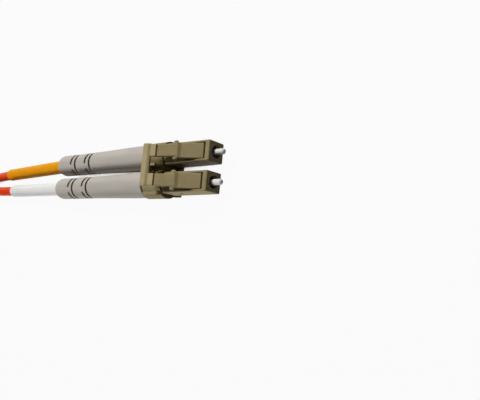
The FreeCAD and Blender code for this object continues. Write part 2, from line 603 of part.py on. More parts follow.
# ---------------------------------------------------------------- trigger
def trigger():
    """One bar across both plugs with a lip over each latch tail, on a pivoting leg."""
    body = new_body("trigger")

    def under(depth):
        return tail_top(depth) + S.lip_gap

    back = S.bar_front + S.bar_length
    bar = sketch(body, "BarSide", "XZ_Plane")
    mid = S.bar_front + S.bar_slant
    outline(bar, [(-S.bar_front, under(S.bar_front)), (-S.bar_front, under(S.bar_front) + S.lip_thickness),
                  (-mid, under(S.bar_front) + S.bar_thickness + 0.1), (-(back - 0.15), under(back) + S.bar_thickness),
                  (-back, under(back) + S.bar_thickness - 0.2), (-back, under(back))])
    extrude(body, "Pad", "Bar", bar, S.bar_width, both=True)
    end = S.bar_width.value / 2
    soften(body, "BarEdge", S.bar_edge,
           lambda e, b: near(abs(b.YMin), end) and near(abs(b.YMax), end)
           and b.ZMax > under(S.bar_front).value + S.lip_thickness.value + 0.05, "Chamfer")
    for tag, side in SIDES:
        lip = sketch(body, "Lip" + tag + "Side", "XZ_Plane", -side * S.pitch / 2)
        outline(lip, [(-S.lip_front, under(S.lip_front)), (-S.lip_front, under(S.lip_front) + S.lip_thickness),
                      (-(S.bar_front + 0.1), under(S.bar_front + 0.1) + S.lip_thickness),
                      (-(S.bar_front + 0.1), under(S.bar_front + 0.1))])
        extrude(body, "Pad", "Lip" + tag, lip, S.lip_width, both=True)
    leg = sketch(body, "LegSide", "XZ_Plane")
    half = S.boss_dia / 2
    outline(leg, [(-(back - 0.1), under(back) + 0.1), (-(S.bar_front + 0.45), under(S.bar_front + 0.45) + 0.1),
                  (-(S.trigger_pivot_depth - half * 0.7), S.trigger_pivot_up + half * 0.55),
                  (-(S.trigger_pivot_depth + half * 0.55), S.trigger_pivot_up + half * 0.7)])
    extrude(body, "Pad", "Leg", leg, S.leg_width, both=True)
    boss = sketch(body, "BossSide", "XZ_Plane")
    ring(boss, -S.trigger_pivot_depth, S.trigger_pivot_up, half)
    extrude(body, "Pad", "Boss", boss, S.leg_width, both=True)
    trunnion = sketch(body, "TrunnionSide", "XZ_Plane")
    ring(trunnion, -S.trigger_pivot_depth, S.trigger_pivot_up, S.trunnion_dia / 2)
    extrude(body, "Pad", "Trunnions", trunnion, S.ridge_width - 0.1, both=True)
    place(body, FACE_X, 0, S.axis_height)


# ---------------------------------------------------------------- the lead
def cord_tube(label, points, radius):
    """Straight runs joined by tangent arcs, swept with a round section."""
    points = [V(*p) for p in points]
    edges, at, total, radii = [], points[0], 0.0, []
    for before, corner, after in zip(points, points[1:], points[2:]):
        back, on = (before - corner), (after - corner)
        shorter = min(back.Length, on.Length)
        turned = math.pi - back.getAngle(on)
        cut = 0.45 * shorter
        bend = cut / math.tan(turned / 2)
        start = corner + back.normalize() * cut
        finish = corner + on.normalize() * cut
        middle_line = (back + on).normalize()
        centre = corner + middle_line * (bend / math.cos(turned / 2))
        middle = centre - middle_line * bend
        edges.append(Part.LineSegment(at, start).toShape())
        edges.append(Part.Arc(start, middle, finish).toShape())
        radii.append(bend)
        at = finish
    edges.append(Part.LineSegment(at, points[-1]).toShape())
    total = sum(e.Length for e in edges)
    path = Part.Wire(edges)
    heading = (points[1] - points[0]).normalize()
    section = Part.Wire([Part.makeCircle(radius, points[0], heading)])
    tube = path.makePipeShell([section], True, True)
    ratio = tube.Volume / (math.pi * radius ** 2 * total)
    print("%s: length %.1f mm, radii %s, volume ratio %.4f"
          % (label, total, " ".join("%.0f" % r for r in radii), ratio))
    if abs(ratio - 1) > 0.01:
        raise RuntimeError(label + " is not a clean sweep")
    made = doc.addObject("Part::Feature", label)
    made.Label = label
    made.Shape = tube
    BUILT.append(made)


def cords():
    face, high = FACE_X.value, S.axis_height.value
    for tag, side, end, yaw in (("a", 1, S.sleeve_end_a, -S.sleeve_turn_a.value),
                                 ("b", -1, S.sleeve_end_b, S.sleeve_turn_b.value)):
        y = side * S.pitch.value / 2
        run = end.value - S.sleeve_bend.value + 1.0
        droop, swing = math.radians(S.sleeve_droop.value), math.radians(yaw)
        bend = (face - S.sleeve_bend.value, y, high)
        out = (bend[0] - run * math.cos(droop) * math.cos(swing),
               y + run * math.sin(swing), high - run * math.sin(droop))
        tail = {"a": [(-54.0, 1.75, 1.5), (-61.0, 1.3, 2.1)],
                "b": [(-50.5, -1.6, 1.5), (-57.0, -1.55, 2.1)]}[tag]
        cord_tube("cord_" + tag, [(face - S.cord_start.value, y, high), bend, out] + tail, S.cord_dia.value / 2)


def cord_hank():
    """Outer shape of the hank into which the rest of both legs is folded."""
    body = new_body("cord_hank")
    plan = sketch(body, "Plan", "XY_Plane", S.tie_thickness + S.tie_gap)
    stadium(plan, 0, -S.hank_run, S.hank_out_radius)
    stadium(plan, 0, -S.hank_run, S.hank_in_radius)
    extrude(body, "Pad", "Turns", plan, S.hank_height)
    reach = S.hank_out_radius.value
    soften(body, "Edges", S.hank_edge,
           lambda e, b: b.ZLength < 0.01 and (near(b.YMax, reach) or near(b.YMin, -reach)), "Chamfer")
    place(body, S.hank_front_x, S.hank_y, 0)


def lead_tie():
    """Strap wrapped once round the middle of the hank."""
    body = new_body("lead_tie")
    section = sketch(body, "Section", "YZ_Plane")
    inner = S.hank_out_radius + S.tie_gap
    outer = inner + S.tie_thickness
    top = S.tie_thickness + S.hank_height + 2 * S.tie_gap
    box_outline(section, -outer, outer, 0, top + S.tie_thickness)
    extrude(body, "Pad", "Band", section, S.tie_width, both=True)
    soften(body, "Corners", S.tie_round, lambda e, b: b.YLength < 0.01 and b.ZLength < 0.01)
    room = sketch(body, "Room", "YZ_Plane")
    box_outline(room, -inner, inner, S.tie_thickness, top)
    extrude(body, "Pocket", "Opening", room, S.tie_width + 2 * S.cut_over, both=True)
    place(body, S.hank_front_x - S.hank_run / 2, S.hank_y, 0)


for tag, side in SIDES:
    plug_frame(tag, side)
    latch_arm(tag, side)
    ferrule(tag, side)
    ferrule_holder(tag, side)
    spring(tag, side)
    buffered_fibre(tag, side)
    rear_body(tag, side)
    crimp_ring(tag, side)
    boot(tag, side, S.boot_turn_a if tag == "a" else S.boot_turn_b)
marker_sleeve("a", 1, S.sleeve_end_a, S.sleeve_turn_a.value)
marker_sleeve("b", -1, S.sleeve_end_b, -S.sleeve_turn_b.value)
duplex_clip()
trigger()
cords()
cord_hank()
lead_tie()
doc.recompute()

# ---------------------------------------------------------------- checks and export
for thing in doc.Objects:
    if "Invalid" in thing.State or "Error" in thing.State:
        raise RuntimeError("%s failed: %s" % (thing.Label, thing.State))
for thing in BUILT:
    shape = thing.Shape
    if shape.isNull() or not shape.isValid() or len(shape.Solids) != 1:
        raise RuntimeError("%s is not one sound solid: %d solids" % (thing.Label, len(shape.Solids)))
os.makedirs("parts", exist_ok=True)
for thing in BUILT:
    thing.Shape.exportStep("parts/%s.step" % thing.Label)
    print("%-20s %9.3f mm3" % (thing.Label, thing.Shape.Volume))
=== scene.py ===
"""Looks of the duplex LC connector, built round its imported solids.

Housings, latches, trigger, ferrules and sleeves keep their solids and get materials. The springs,
the boots and the hank's strap are made by Geometry Nodes rules, and the lead's legs are splines.
Sizes are in millimetres, and MM turns them into metres.
"""

import math

import bmesh
import bpy
from mathutils import Matrix, Vector


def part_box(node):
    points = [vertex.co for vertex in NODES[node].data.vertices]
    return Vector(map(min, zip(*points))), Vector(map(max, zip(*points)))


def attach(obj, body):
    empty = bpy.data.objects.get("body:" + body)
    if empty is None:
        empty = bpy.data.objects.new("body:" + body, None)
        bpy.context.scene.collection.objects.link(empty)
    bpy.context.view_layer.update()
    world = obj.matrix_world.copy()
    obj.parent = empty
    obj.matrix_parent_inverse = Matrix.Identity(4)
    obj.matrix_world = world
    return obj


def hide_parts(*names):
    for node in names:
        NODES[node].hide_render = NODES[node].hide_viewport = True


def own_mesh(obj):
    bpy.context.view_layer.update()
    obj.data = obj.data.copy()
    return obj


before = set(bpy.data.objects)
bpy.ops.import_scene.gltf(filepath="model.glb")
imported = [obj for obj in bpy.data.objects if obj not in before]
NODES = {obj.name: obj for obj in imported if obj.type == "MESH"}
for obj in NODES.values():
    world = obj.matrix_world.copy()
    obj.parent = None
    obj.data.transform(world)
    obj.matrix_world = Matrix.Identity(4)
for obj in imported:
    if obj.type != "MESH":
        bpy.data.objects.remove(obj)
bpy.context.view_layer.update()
MM = 0.001

# ------------------------------------------------------------ sizes taken from the frame
ferrule_low, ferrule_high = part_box("ferrule_a")
FACE_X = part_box("plug_frame_a")[1].x
HALF_PITCH = (ferrule_low.y + ferrule_high.y) / 2
AXIS_Z = (ferrule_low.z + ferrule_high.z) / 2
SIDES = {"a": 1, "b": -1}  # each plug's side of the middle


def behind(depth, across=0.0, up=0.0):
    """A point behind the plugs' front face, off their middle and over the ferrules."""
    return Vector((FACE_X - depth * MM, across * MM, AXIS_Z + up * MM))


def on_axis(tag, x):
    """The point at x, in metres, on a plug's axis."""
    return x, SIDES[tag] * HALF_PITCH, AXIS_Z


def add_object(name, data):
    made = bpy.data.objects.new(name, data)
    bpy.context.scene.collection.objects.link(made)
    return made


def aimed(place, target):
    """Matrix for a camera or lamp that stands at place and points at target."""
    turn = (target - place).to_track_quat("-Z", "Y").to_matrix().to_4x4()
    return Matrix.Translation(place) @ turn


# ------------------------------------------------------------ camera
def place_camera(place, target, roll, lens):
    """Camera at place, looking at target, then turned about its own line of sight."""
    data = bpy.data.cameras.new("view_camera")
    data.sensor_width = 36.0
    data.lens = lens
    data.clip_start = 0.005
    camera = add_object("view_camera", data)
    camera.matrix_world = aimed(place, target) @ Matrix.Rotation(math.radians(roll), 4, "Z")
    bpy.context.scene.camera = camera


place_camera(behind(-63.752, across=-18.514, up=72.020), behind(-2.455, across=-5.894, up=-5.976),
             roll=-76.07, lens=36.075)


# ------------------------------------------------------------ node trees
class Nodes:
    """Short calls for building one node tree."""

    def __init__(self, tree):
        self.tree = tree

    def node(self, kind, inputs=(), **settings):
        """A node; inputs holds values, or the outputs that feed it, by socket name or number."""
        made = self.tree.nodes.new(kind)
        for word, value in settings.items():
            setattr(made, word, value)
        for word, value in dict(inputs).items():
            socket = made.inputs[word]
            if isinstance(value, bpy.types.NodeSocket):
                self.join(value, socket)
            else:
                socket.default_value = value
        return made

    def join(self, start, end):
        self.tree.links.new(start, end)

    def calc(self, operation, first, second=0.0):
        return self.node("ShaderNodeMath", {0: first, 1: second}, operation=operation).outputs[0]

    def seen_by(self, first, *others):
        """1 for rays of these kinds, by their names on Light Path, and 0 for the others."""
        rays = self.node("ShaderNodeLightPath")
        seen = rays.outputs[first]
        for kind in others:
            seen = self.calc("MAXIMUM", seen, rays.outputs[kind])
        return seen


# ------------------------------------------------------------ materials
NOISE_LOW, NOISE_HIGH = 0.3, 0.7  # noise seldom leaves this range


class Finish(Nodes):
    """A material whose colour, roughness and surface each follow a noise."""

    def __init__(self, name, colour, roughness, gloss=0.35):
        self.material = bpy.data.materials.new(name)
        self.material.use_nodes = True
        super().__init__(self.material.node_tree)
        self.shader = self.tree.nodes["Principled BSDF"]
        self.shader.inputs["Base Color"].default_value = (*colour, 1.0)
        self.shader.inputs["Roughness"].default_value = roughness
        self.shader.inputs["Specular IOR Level"].default_value = gloss
        self.colour = colour
        self.rounded = None
        self.place = self.node("ShaderNodeTexCoord").outputs["Object"]

    def shade(self, share):
        """The material's own colour times share."""
        return (*(min(1.0, c * share) for c in self.colour), 1.0)

    def noise(self, size, detail=3.0, along=1.0):
        """Noise with lumps about size metres across, and drawn out in X where along is under 1."""
        mapping = self.node("ShaderNodeMapping", {"Vector": self.place, "Scale": (along, 1, 1)})
        texture = self.node("ShaderNodeTexNoise", {
            "Vector": mapping.outputs["Vector"], "Scale": 1 / size, "Detail": detail})
        return texture.outputs["Fac"]

    def rounding(self, radius):
        """Edges that shade as if rounded, as a mould leaves them. It comes before grain."""
        bevel = self.node("ShaderNodeBevel", {"Radius": radius}, samples=6)
        self.rounded = bevel.outputs["Normal"]

    def tint(self, factor, darker, lighter):
        """Colour that drifts between a darker and a lighter shade of the material's own."""
        ramp = self.node("ShaderNodeValToRGB", {"Fac": factor})
        low, high = ramp.color_ramp.elements
        low.position, high.position = NOISE_LOW, NOISE_HIGH
        low.color, high.color = self.shade(darker), self.shade(lighter)
        self.join(ramp.outputs["Color"], self.shader.inputs["Base Color"])

    def painted_edge_highlight(self, lighter, turned=0.12):
        """Edges painted lighter, a painted highlight along them. It comes after rounding and tint.

        The painted highlight is full where the rounded normal has turned so far that its share
        along the face's own normal has dropped by turned.
        """
        face = self.node("ShaderNodeNewGeometry").outputs["Normal"]
        bend = self.node("ShaderNodeVectorMath", {0: self.rounded, 1: face},
                         operation="DOT_PRODUCT")
        share = self.node("ShaderNodeMapRange", {
            "Value": bend.outputs["Value"], "From Min": 1.0, "From Max": 1.0 - turned})
        base = self.shader.inputs["Base Color"]
        blend = self.node("ShaderNodeMix", {
            "Factor": share.outputs["Result"], "A": base.links[0].from_socket,
            "B": self.shade(lighter)}, data_type="RGBA")
        self.join(blend.outputs["Result"], base)

    def sheen(self, factor, low, high):
        """Roughness that drifts between two values."""
        spread = self.node("ShaderNodeMapRange", {
            "Value": factor, "To Min": low, "To Max": high})
        self.join(spread.outputs["Result"], self.shader.inputs["Roughness"])

    def grain(self, height, strength, depth):
        """Fine bumps, on top of the rounded edges where there are any."""
        bump = self.node("ShaderNodeBump", {
            "Height": height, "Strength": strength, "Distance": depth})
        if self.rounded is not None:
            self.join(self.rounded, bump.inputs["Normal"])
        self.join(bump.outputs["Normal"], self.shader.inputs["Normal"])


def moulded_plastic(name, colour):
    """Filled thermoplastic from a finely eroded mould, with a painted highlight along its edges.
    """
    finish = Finish(name, colour, roughness=0.5, gloss=0.08)
    finish.rounding(0.16 * MM)
    finish.tint(finish.noise(2.5 * MM), darker=0.92, lighter=1.07)
    # painted highlight: edges painted a quarter lighter, standing in for the light they catch
    finish.painted_edge_highlight(lighter=1.25)
    finish.sheen(finish.noise(0.6 * MM), low=0.44, high=0.58)
    finish.grain(finish.noise(0.09 * MM, detail=2.0), strength=0.25, depth=0.01 * MM)
    return finish.material


def boot_rubber():
    """Matte grey elastomer with faint flow streaks along its length."""
    finish = Finish("boot_rubber", (0.42, 0.39, 0.35), roughness=0.62, gloss=0.05)
    finish.tint(finish.noise(1.6 * MM, along=0.25), darker=0.95, lighter=1.04)
    finish.sheen(finish.noise(0.8 * MM), low=0.55, high=0.7)
    finish.grain(finish.noise(0.12 * MM), strength=0.3, depth=0.015 * MM)
    return finish.material


def shrunk_sleeve(name, colour):
    """Smooth tube shrunk on with heat: a slight gloss and lengthwise ripples."""
    finish = Finish(name, colour, roughness=0.5, gloss=0.04)
    finish.tint(finish.noise(3.0 * MM, detail=2.0, along=0.3), darker=0.94, lighter=1.05)
    finish.sheen(finish.noise(1.0 * MM), low=0.42, high=0.56)
    finish.grain(finish.noise(1.2 * MM, detail=2.0, along=0.2), strength=0.12, depth=0.03 * MM)
    return finish.material


def lead_jacket():
    """Orange PVC jacket: satin, with the fine unevenness of its extrusion."""
    finish = Finish("lead_jacket", (0.62, 0.045, 0.003), roughness=0.45, gloss=0.12)
    finish.tint(finish.noise(4.0 * MM), darker=0.93, lighter=1.05)
    finish.sheen(finish.noise(1.5 * MM), low=0.34, high=0.48)
    finish.grain(finish.noise(0.25 * MM, detail=2.0), strength=0.15, depth=0.01 * MM)
    return finish.material


def polished_ceramic():
    """White zirconia, ground and polished."""
    finish = Finish("polished_ceramic", (0.72, 0.72, 0.70), roughness=0.14)
    finish.tint(finish.noise(1.0 * MM), darker=0.97, lighter=1.02)
    finish.sheen(finish.noise(0.4 * MM), low=0.1, high=0.18)
    finish.grain(finish.noise(0.05 * MM, detail=2.0), strength=0.08, depth=0.002 * MM)
    return finish.material


def plain_metal(name, colour, roughness):
    """Bare metal with fine lines along X."""
    finish = Finish(name, colour, roughness)
    finish.shader.inputs["Metallic"].default_value = 1.0
    finish.tint(finish.noise(1.0 * MM), darker=0.94, lighter=1.04)
    finish.sheen(finish.noise(0.3 * MM), low=roughness - 0.06, high=roughness + 0.08)
    finish.grain(finish.noise(0.08 * MM, detail=2.0, along=0.1), strength=0.2, depth=0.004 * MM)
    return finish.material


def strap_weave():
    """Black hook-and-loop strap: a matte woven face."""
    finish = Finish("strap_weave", (0.022, 0.022, 0.025), roughness=0.9)
    finish.tint(finish.noise(0.5 * MM), darker=0.7, lighter=1.5)
    finish.sheen(finish.noise(0.3 * MM), low=0.8, high=0.95)
    finish.grain(finish.noise(0.25 * MM), strength=0.7, depth=0.12 * MM)
    return finish.material


HOUSING = moulded_plastic("housing_plastic", (0.247, 0.2, 0.1))
# the trigger's beige is partly its own tone and partly painted lighter, a painted highlight for
# the light its bar catches
TRIGGER_PAINTED_LIGHTER = moulded_plastic("trigger_plastic", (0.37, 0.303, 0.163))
BOOT = boot_rubber()
SLEEVES = {"a": shrunk_sleeve("yellow_sleeve", (0.69, 0.277, 0.003)),
           "b": shrunk_sleeve("white_sleeve", (0.72, 0.72, 0.70))}
JACKET = lead_jacket()
CERAMIC = polished_ceramic()
STEEL = plain_metal("spring_steel", (0.62, 0.62, 0.60), roughness=0.3)
CRIMP = plain_metal("crimp_aluminium", (0.70, 0.70, 0.70), roughness=0.38)
BUFFER = shrunk_sleeve("buffer_coat", (0.80, 0.79, 0.74))
STRAP = strap_weave()


def dress(material, *names):
    """Give solids that stay in view their material."""
    for name in names:
        slots = NODES[name].material_slots
        for slot in slots:
            slot.material = material
        if not slots:
            NODES[name].data.materials.append(material)


for tag in SIDES:
    dress(HOUSING, "plug_frame_" + tag, "latch_arm_" + tag, "rear_body_" + tag)
    dress(CERAMIC, "ferrule_" + tag)
    dress(STEEL, "ferrule_holder_" + tag)
    dress(CRIMP, "crimp_ring_" + tag)
    dress(BUFFER, "buffered_fibre_" + tag)
    dress(SLEEVES[tag], "marker_sleeve_" + tag)
dress(HOUSING, "duplex_clip")
dress(TRIGGER_PAINTED_LIGHTER, "trigger")

# ------------------------------------------------------------ pieces made by rule
WELD = 0.0005 * MM  # points nearer than this are one


class Rule(Nodes):
    """A Geometry Nodes tree with named sizes, which makes one kind of piece."""

    def __init__(self, name):
        super().__init__(bpy.data.node_groups.new(name, "GeometryNodeTree"))
        for way in ("INPUT", "OUTPUT"):
            self.tree.interface.new_socket("Geometry", in_out=way,
                                           socket_type="NodeSocketGeometry")
        self.given = self.node("NodeGroupInput")
        self.sizes = {}

    def size(self, name, value):
        """Add a size to the tree's inputs and return its output socket."""
        kind = "NodeSocketInt" if isinstance(value, int) else "NodeSocketFloat"
        socket = self.tree.interface.new_socket(name, in_out="INPUT", socket_type=kind)
        self.sizes[socket.identifier] = value
        return self.given.outputs[name]

    def vector(self, x=0.0, y=0.0, z=0.0):
        return self.node("ShaderNodeCombineXYZ", {"X": x, "Y": y, "Z": z}).outputs[0]

    def end(self, shape, material):
        """End the tree with real faces that carry the material."""
        real = self.node("GeometryNodeRealizeInstances", {"Geometry": shape})
        smooth = self.node("GeometryNodeSetShadeSmooth", {"Geometry": real.outputs[0]})
        dressed = self.node("GeometryNodeSetMaterial", {
            "Geometry": smooth.outputs[0], "Material": material})
        self.node("NodeGroupOutput", {"Geometry": dressed.outputs[0]})

    def grow(self, name, start=None):
        """Run the tree on a mesh, empty unless one is given, and return a plain object."""
        seed = add_object(name + "_rule", start or bpy.data.meshes.new(name + "_seed"))
        modifier = seed.modifiers.new("Rule", "NODES")
        modifier.node_group = self.tree
        for identifier, value in self.sizes.items():
            modifier[identifier] = value
        ready = seed.evaluated_get(bpy.context.evaluated_depsgraph_get())
        mesh = bpy.data.meshes.new_from_object(ready)
        seed.modifiers.remove(modifier)
        bpy.data.objects.remove(seed)
        mesh.name = name
        material = next(slot for slot in mesh.materials if slot)
        mesh.materials.clear()
        mesh.materials.append(material)
        mesh.polygons.foreach_set("material_index", [0] * len(mesh.polygons))
        return add_object(name, mesh)


def settle(piece, node, body, sharp_angle=35):
    """Turn faces outwards, keep sharp edges crisp, and let the piece stand in for its solid."""
    shape = bmesh.new()
    shape.from_mesh(piece.data)
    bmesh.ops.remove_doubles(shape, verts=shape.verts, dist=WELD)
    bmesh.ops.recalc_face_normals(shape, faces=shape.faces)
    shape.to_mesh(piece.data)
    shape.free()
    piece.data.set_sharp_from_angle(angle=math.radians(sharp_angle))
    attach(piece, body)
    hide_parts(node)


def closed_coil(name, wire, turns, radius, length, material):
    """A coil of round wire along +X from the origin, with flat cut ends."""
    steps_a_turn, wire_sides = 40, 14
    rule = Rule("coil_rule")
    coil_radius = rule.size("Radius", radius)
    spiral = rule.node("GeometryNodeCurveSpiral", {
        "Resolution": steps_a_turn, "Rotations": rule.size("Turns", float(turns)),
        "Start Radius": coil_radius, "End Radius": coil_radius,
        "Height": rule.size("Length", length - wire)})
    section = rule.node("GeometryNodeCurvePrimitiveCircle", {
        "Resolution": wire_sides, "Radius": rule.calc("MULTIPLY", rule.size("Wire", wire), 0.5)})
    swept = rule.node("GeometryNodeCurveToMesh", {
        "Curve": spiral.outputs[0], "Profile Curve": section.outputs[0], "Fill Caps": True})
    rule.end(swept.outputs[0], material)
    piece = rule.grow(name)
    along_x = Matrix.Rotation(math.radians(90), 4, "Y")
    piece.data.transform(Matrix.Translation((wire / 2, 0, 0)) @ along_x)
    return piece


def turned_shell(rule, stations, steps_around=144):
    """Closed shell made by turning the rule's start mesh, of so many stations, round X.

    It wraps a grid with a row for each station and a column for each step.
    """
    around = rule.size("Steps Around", steps_around)
    columns = rule.calc("ADD", around, 1.0)
    skin = rule.node("GeometryNodeMeshGrid", {"Vertices X": stations + 1, "Vertices Y": columns})
    number = rule.node("GeometryNodeInputIndex").outputs[0]
    # half a point more keeps each row's first point from being rounded into the row before
    row = rule.calc("FLOOR", rule.calc("DIVIDE", rule.calc("ADD", number, 0.5), columns))
    column = rule.calc("SUBTRACT", number, rule.calc("MULTIPLY", row, columns))
    turn = rule.calc("MULTIPLY", rule.calc("DIVIDE", column, around), 2 * math.pi)
    station = rule.node("GeometryNodeSampleIndex", {
        "Geometry": rule.given.outputs["Geometry"],
        "Index": rule.calc("MODULO", row, float(stations)),
        "Value": rule.node("GeometryNodeInputPosition").outputs[0],
    }, data_type="FLOAT_VECTOR", domain="POINT")
    x, radius, _ = rule.node("ShaderNodeSeparateXYZ", {0: station.outputs[0]}).outputs
    place = rule.vector(x, rule.calc("MULTIPLY", radius, rule.calc("SINE", turn)),
                        rule.calc("MULTIPLY", radius, rule.calc("COSINE", turn)))
    wrapped = rule.node("GeometryNodeSetPosition", {
        "Geometry": skin.outputs["Mesh"], "Position": place})
    welded = rule.node("GeometryNodeMergeByDistance", {
        "Geometry": wrapped.outputs[0], "Distance": WELD})
    return welded.outputs[0]


def slot_cutters(rule, slots, turn):
    """Rows of four curved blades round X, a quarter turn apart, every other one a step further."""
    arc_steps = 48
    sweep = rule.size("Slot Sweep", slots["sweep"])
    arc = rule.node("GeometryNodeCurveArc", {
        "Resolution": arc_steps, "Radius": rule.size("Slot Radius", slots["radius"]),
        "Start Angle": rule.calc("MULTIPLY", sweep, -0.5), "Sweep Angle": sweep})
    section = rule.node("GeometryNodeCurvePrimitiveQuadrilateral", {
        "Width": rule.size("Slot Depth", slots["depth"]),
        "Height": rule.size("Slot Width", slots["width"])})
    blade = rule.node("GeometryNodeCurveToMesh", {
        "Curve": arc.outputs[0], "Profile Curve": section.outputs[0], "Fill Caps": True})
    stood = rule.node("GeometryNodeTransform", {
        "Geometry": blade.outputs[0], "Rotation": (0.0, math.radians(-90), 0.0)})
    step = rule.size("Slot Step", slots["step"])
    blades = rule.node("GeometryNodeJoinGeometry")
    for quarter in range(4):
        further = rule.calc("MULTIPLY", step, -float(quarter % 2))
        turned = rule.node("GeometryNodeTransform", {
            "Geometry": stood.outputs[0], "Translation": rule.vector(further),
            "Rotation": (turn + math.radians(90 * quarter), 0.0, 0.0)})
        rule.join(turned.outputs[0], blades.inputs[0])
    pitch = rule.calc("MULTIPLY", rule.size("Slot Pitch", slots["pitch"]), -1.0)
    line = rule.node("GeometryNodeMeshLine", {
        "Count": rule.size("Slot Rows", slots["rows"]),
        "Start Location": rule.vector(rule.size("First Slot", -slots["first"])),
        "Offset": rule.vector(pitch)})
    rows = rule.node("GeometryNodeInstanceOnPoints", {
        "Points": line.outputs[0], "Instance": blades.outputs[0]})
    return rule.node("GeometryNodeRealizeInstances", {"Geometry": rows.outputs[0]}).outputs[0]


def slotted_boot(name, outline, slots, turn, material):
    """An outline of points at (x, radius), turned round X, less the slots that let it bend."""
    rule = Rule("boot_rule")
    shell = turned_shell(rule, len(outline))
    cut = rule.node("GeometryNodeMeshBoolean", {0: shell, 1: slot_cutters(rule, slots, turn)},
                    operation="DIFFERENCE", solver="EXACT")
    rule.end(cut.outputs[0], material)
    start = bpy.data.meshes.new(name + "_outline")
    start.from_pydata([(x, radius, 0.0) for x, radius in outline], [], [])
    return rule.grow(name, start)


def wrapped_strap(name, line, width, thickness, bend, material):
    """A flat strap laid along a line of points, with the line's corners rounded."""
    bend_steps, edge_steps, edge_share = 8, 3, 0.3
    rule = Rule("strap_rule")
    drawn = rule.node("GeometryNodeMeshToCurve", {"Mesh": rule.given.outputs["Geometry"]})
    bent = rule.node("GeometryNodeFilletCurve", {
        "Curve": drawn.outputs[0], "Radius": rule.size("Bend", bend), "Limit Radius": True,
        "Count": bend_steps}, mode="POLY")
    through = rule.size("Thickness", thickness)
    section = rule.node("GeometryNodeCurvePrimitiveQuadrilateral", {
        "Width": rule.size("Width", width), "Height": through})
    eased = rule.node("GeometryNodeFilletCurve", {
        "Curve": section.outputs[0], "Radius": rule.calc("MULTIPLY", through, edge_share),
        "Limit Radius": True, "Count": edge_steps}, mode="POLY")
    laid = rule.node("GeometryNodeCurveToMesh", {
        "Curve": bent.outputs[0], "Profile Curve": eased.outputs[0], "Fill Caps": True})
    rule.end(laid.outputs[0], material)
    start = bpy.data.meshes.new(name + "_line")
    start.from_pydata(line, [(i, i + 1) for i in range(len(line) - 1)], [])
    return rule.grow(name, start)


# ------------------------------------------------------------ springs
WIRE, COIL_RADIUS, TURNS, SPRING_TRAVEL = 0.3, 1.0, 5, 1.2


def ferrule_coil(tag):
    """Coil of a ferrule's spring."""
    low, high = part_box("ferrule_spring_" + tag)
    length = high.x - low.x
    coil = closed_coil("steel_coil_" + tag, WIRE * MM, TURNS, COIL_RADIUS * MM, length, STEEL)
    coil.data.transform(Matrix.Translation(on_axis(tag, low.x)))
    settle(coil, "ferrule_spring_" + tag, "connector")
    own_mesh(coil)


for tag in SIDES:
    ferrule_coil(tag)

# ------------------------------------------------------------ boots
# distances behind the plugs' front face
BOOT_FRONT, GRIP_END, TAPER_END, BOOT_END = 19.1, 23.1, 38.4, 54.0
CRIMP_ROOM_END, MOUTH_START = 28.3, 47.9
# radii, outside and in the bore, and the rounding of the two ends
FRONT_RADIUS, REAR_RADIUS = 2.95, 2.74
CRIMP_ROOM, CORD_ROOM, MOUTH = 1.8, 1.47, 1.91
FRONT_EDGE, END_ROUND = 0.2, 1.15
# degrees round the edge of each end, 0 on the wall's side and 90 on the end's face
FRONT_ANGLES, END_ANGLES = range(80, -1, -20), range(0, 73, 8)
# share of the taper's length, and of its fall in radius there
TAPER_EASE = ((0.0, 0.0), (0.25, 0.16), (0.5, 0.5), (0.75, 0.84), (1.0, 1.0))

# two rows of bend slots, each with a pair over and under the cord and, a step further back, a
# pair on its two sides
SLOTS = {"width": 0.75 * MM, "depth": 2.1 * MM, "radius": 2.45 * MM, "sweep": math.radians(152),
         "step": 1.75 * MM, "rows": 2, "first": 39.675 * MM, "pitch": 6.0 * MM}
SLOT_TURN = {"a": math.radians(24), "b": math.radians(17)}  # how each boot sits about its axis


def rounded_end(x, radius, size, inward, angles):
    """Points round the outer edge of an end at x; inward, +1 or -1, is the way to the wall."""
    return [(x + inward * size * (1 - math.sin(math.radians(angle))),
             radius - size * (1 - math.cos(math.radians(angle)))) for angle in angles]


def boot_outline():
    """Section of the boot's wall as x and radius: outside first, then back through the bore."""
    front = rounded_end(BOOT_FRONT, FRONT_RADIUS, FRONT_EDGE, 1, FRONT_ANGLES)
    taper = [(GRIP_END + (TAPER_END - GRIP_END) * share,
              FRONT_RADIUS - (FRONT_RADIUS - REAR_RADIUS) * ease) for share, ease in TAPER_EASE]
    end = rounded_end(BOOT_END, REAR_RADIUS, END_ROUND, -1, END_ANGLES)
    bore = [(MOUTH_START, MOUTH), (MOUTH_START, CORD_ROOM), (CRIMP_ROOM_END, CORD_ROOM),
            (CRIMP_ROOM_END, CRIMP_ROOM), (BOOT_FRONT, CRIMP_ROOM)]
    return [(-x * MM, radius * MM) for x, radius in front + taper + end + bore]


for tag in SIDES:
    boot = slotted_boot("rubber_boot_" + tag, boot_outline(), SLOTS, SLOT_TURN[tag], BOOT)
    boot.data.transform(Matrix.Translation(on_axis(tag, FACE_X)))
    settle(boot, "boot_" + tag, "connector")

# ------------------------------------------------------------ the lead's two legs
CORD_DIA = 2.8
# each leg from inside its plug to where it meets the hank
ROUTES = {
    "a": [(16.1, 3.125, 3.0), (-10.0, 3.125, 3.0), (-44.472, 2.252, 1.916),
          (-54.0, 1.75, 1.5), (-61.0, 1.3, 2.1)],
    "b": [(16.1, -3.125, 3.0), (-10.0, -3.125, 3.0), (-40.984, -2.909, 2.026),
          (-50.5, -2.75, 1.5), (-57.0, -2.3, 2.0)],
}

